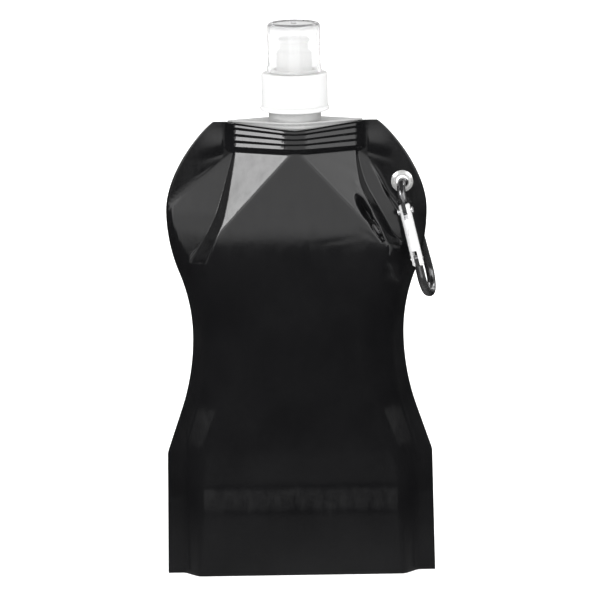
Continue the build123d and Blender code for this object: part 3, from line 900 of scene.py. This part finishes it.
def floor_reflection():
    """Dim pool of light on the floor that only mirror reflections see, brighter towards the bottle."""
    bpy.ops.mesh.primitive_plane_add(size=FLOOR_SIZE, location=(0, 0, -POOL_DROP))
    pool = bpy.context.object
    pool.name = "floor_reflection"
    glow = Nodes("floor_reflection_light")
    distance = glow.add("ShaderNodeVectorMath", operation="LENGTH")
    glow.link(glow.place, distance.inputs[0])
    strength = glow.spread(distance.outputs["Value"], POOL_NEAR, POOL_FAR, start=0.0, end=POOL_RADIUS)
    glow.set(Base_Color=BLACK, Emission_Color=WHITE, Specular_IOR_Level=0.0)
    glow.link(strength, glow.shader.inputs["Emission Strength"])
    pool.data.materials.append(glow.material)
    pool.visible_camera = False
    pool.visible_diffuse = False
    pool.visible_transmission = False
    pool.visible_shadow = False


def studio_sky():
    """Even pale light from all round: white to look at, softer as light, and absent from mirror images."""
    world = bpy.data.worlds.new("studio")
    bpy.context.scene.world = world
    world.use_nodes = True
    tree = world.node_tree
    path = tree.nodes.new("ShaderNodeLightPath")
    seen = tree.nodes.new("ShaderNodeMath")
    seen.operation = "MAXIMUM"
    tree.links.new(path.outputs["Is Camera Ray"], seen.inputs[0])
    tree.links.new(path.outputs["Is Transmission Ray"], seen.inputs[1])
    strength = tree.nodes.new("ShaderNodeMapRange")
    strength.inputs["To Min"].default_value = SKY_LIGHT
    strength.inputs["To Max"].default_value = SKY_WHITE
    tree.links.new(seen.outputs["Value"], strength.inputs["Value"])
    sky = tree.nodes["Background"]
    sky.inputs["Color"].default_value = WHITE
    tree.links.new(strength.outputs["Result"], sky.inputs["Strength"])
    world.cycles_visibility.glossy = False


def camera():
    """Long lens a little above the bottle, with a slight roll."""
    lens = bpy.data.cameras.new("camera")
    lens.sensor_width = SENSOR
    lens.lens = SENSOR * CAMERA_DISTANCE / FRAME_WIDTH
    lens.clip_end = CAMERA_CLIP
    eye = bpy.data.objects.new("camera", lens)
    bpy.context.scene.collection.objects.link(eye)
    eye.location = CAMERA_TARGET + direction(0.0, CAMERA_ELEVATION) * CAMERA_DISTANCE
    aim = (CAMERA_TARGET - eye.location).to_track_quat("-Z", "Y")
    eye.rotation_euler = (aim.to_matrix() @ Matrix.Rotation(math.radians(-CAMERA_ROLL), 3, "Z")).to_euler()
    bpy.context.scene.camera = eye


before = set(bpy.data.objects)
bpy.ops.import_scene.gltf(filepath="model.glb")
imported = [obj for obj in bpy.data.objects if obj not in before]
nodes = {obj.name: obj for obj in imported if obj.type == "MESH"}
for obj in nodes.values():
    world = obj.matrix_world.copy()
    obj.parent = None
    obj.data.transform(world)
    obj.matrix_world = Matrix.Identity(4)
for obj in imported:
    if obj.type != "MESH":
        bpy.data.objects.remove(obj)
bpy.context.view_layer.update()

camera()
studio_sky()
pale_floor()
floor_reflection()
studio_lamps()

film = black_film()
edge = film_edge()
for side in ("front", "back"):
    panel = film_panel(f"{side}_film", side == "front")
    panel.data.materials.append(film)
    panel.data.materials.append(edge)
    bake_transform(panel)
    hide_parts(f"{side}_panel_upper", f"{side}_panel_lower")

gusset = gusset_panel("gusset_film")
gusset.data.materials.append(film)
gusset.data.materials.append(edge)
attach(gusset, "pouch_lower")
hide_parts("bottom_gusset")

dress(nodes["spout_fitment"], white_plastic("spout_white", tone=0.4, glow=0.1, rough=0.4))
dress(nodes["screw_cap"], white_plastic("cap_white", tone=0.68, glow=0.2, rough=0.36))
dress(nodes["push_pull_valve"], white_plastic("valve_white", tone=0.7, glow=0.2, rough=0.34))
dress(nodes["cap_liner"], white_plastic("liner_foam", tone=0.85, glow=0.3, rough=0.7))

cover_top = max(corner[2] for corner in nodes["dust_cover"].bound_box)
dress(nodes["dust_cover"], clear_plastic(cover_top))

nickel = metal("nickel_plate", (0.86, 0.86, 0.85), metallic=0.65, rough=0.2, grain=1.0)
for name in ("eyelet_barrel", "eyelet_washer"):
    dress(nodes[name], nickel)

dress(nodes["carabiner_frame"], black_anodised())
gate_steel = metal("polished_gate", (0.97, 0.97, 0.97), metallic=0.35, rough=0.3, grain=0.1)
dress(nodes["carabiner_gate"], gate_steel)

pin_steel = metal("pin_steel", (0.84, 0.84, 0.85), metallic=0.65, rough=0.24, grain=1.0)
for name in ("gate_pivot_pin", "latch_pin", "gate_plunger", "gate_spring"):
    dress(nodes[name], pin_steel)

bpy.context.scene.view_settings.view_transform = "Standard"
